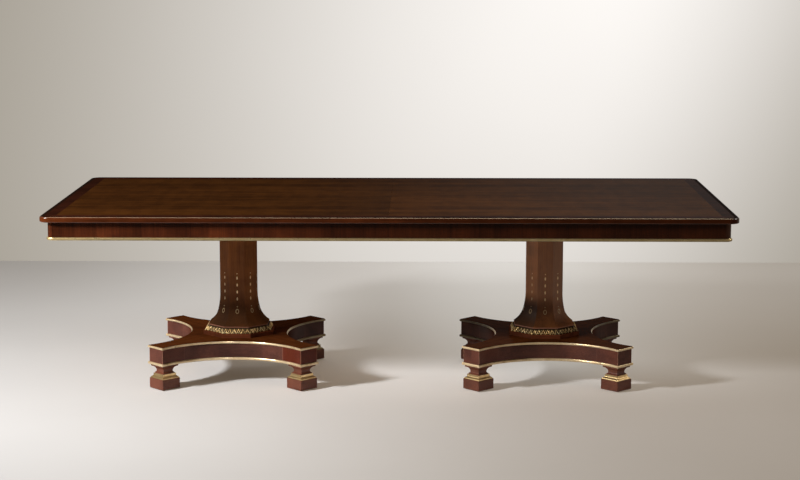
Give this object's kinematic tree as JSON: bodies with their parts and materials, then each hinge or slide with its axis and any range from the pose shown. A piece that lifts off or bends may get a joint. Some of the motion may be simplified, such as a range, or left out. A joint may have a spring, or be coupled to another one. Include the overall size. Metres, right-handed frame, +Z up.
{
  "type": "double pedestal dining table",
  "caption": "Extending pedestal dining table: crossbanded veneered top, brass-edged apron, flared octagonal columns and gilt-moulded hollow-sided plinths on square feet.",
  "frame": {"origin": "on the floor, under the middle of the closed top", "axes": "+X along the table, the way the right half draws out; +Y across it, away from the pictured side; +Z up"},
  "size_m": [2.8, 1.3, 0.78],
  "materials": {
    "field_mahogany": "figured veneer, gloss lacquer",
    "crossband_mahogany": "crossbanded veneer, gloss lacquer",
    "apron_mahogany": "crossbanded veneer, gloss lacquer",
    "solid_mahogany": "gloss lacquer",
    "column_mahogany": "veneer, gloss lacquer",
    "plinth_mahogany": "veneer, gloss lacquer",
    "core_board": "bare board",
    "frame_beech": "sanded",
    "brass": "satin",
    "gilt": "gold leaf over carved wood",
    "steel": "zinc plated",
    "nylon": "matt"
  },
  "bodies": {
    "left_half": {"left_alignment_pins": "brass", "left_bearers": "frame_beech", "left_brass_strip": "brass", "left_collar": "gilt", "left_column": "column_mahogany", "left_column_inlay": "brass", "left_corner_posts": "apron_mahogany", "left_crossbanding": "crossband_mahogany", "left_edge_moulding": "solid_mahogany", "left_end_rail": "apron_mahogany", "left_field_veneer": "field_mahogany", "left_foot_bands": "gilt", "left_foot_blocks": "solid_mahogany", "left_foot_bolts": "steel", "left_foot_necks": "solid_mahogany", "left_glides": "nylon", "left_head_bolts": "steel", "left_head_plate": "frame_beech", "left_latch_pivots": "steel", "left_long_rails": "apron_mahogany", "left_plinth_base_moulding": "gilt", "left_plinth_core": "plinth_mahogany", "left_plinth_top": "field_mahogany", "left_plinth_top_moulding": "gilt", "left_runners": "frame_beech", "left_step": "solid_mahogany", "left_tie_nuts": "steel", "left_tie_rod": "steel", "left_top_core": "core_board"},
    "right_half": {"right_bearers": "frame_beech", "right_brass_strip": "brass", "right_collar": "gilt", "right_column": "column_mahogany", "right_column_inlay": "brass", "right_corner_posts": "apron_mahogany", "right_crossbanding": "crossband_mahogany", "right_edge_moulding": "solid_mahogany", "right_end_rail": "apron_mahogany", "right_field_veneer": "field_mahogany", "right_foot_bands": "gilt", "right_foot_blocks": "solid_mahogany", "right_foot_bolts": "steel", "right_foot_necks": "solid_mahogany", "right_glides": "nylon", "right_head_bolts": "steel", "right_head_plate": "frame_beech", "right_latch_keepers": "steel", "right_long_rails": "apron_mahogany", "right_plinth_base_moulding": "gilt", "right_plinth_core": "plinth_mahogany", "right_plinth_top": "field_mahogany", "right_plinth_top_moulding": "gilt", "right_runners": "frame_beech", "right_step": "solid_mahogany", "right_tie_nuts": "steel", "right_tie_rod": "steel", "right_top_core": "core_board"},
    "front_latch": {"front_latch": "steel"},
    "back_latch": {"back_latch": "steel"}
  },
  "joints": [
    {"name": "extension", "type": "slide", "parent": "left_half", "child": "right_half", "axis": [1, 0, 0], "range_m": [0, 0.5]},
    {"name": "front_latch_turn", "type": "hinge", "parent": "left_half", "child": "front_latch", "pos_m": [-0.035, -0.45, 0.749], "axis": [0, 0, -1], "range_deg": [0, 90]},
    {"name": "back_latch_turn", "type": "hinge", "parent": "left_half", "child": "back_latch", "pos_m": [-0.035, 0.45, 0.749], "axis": [0, 0, 1], "range_deg": [0, 90]}
  ]
}
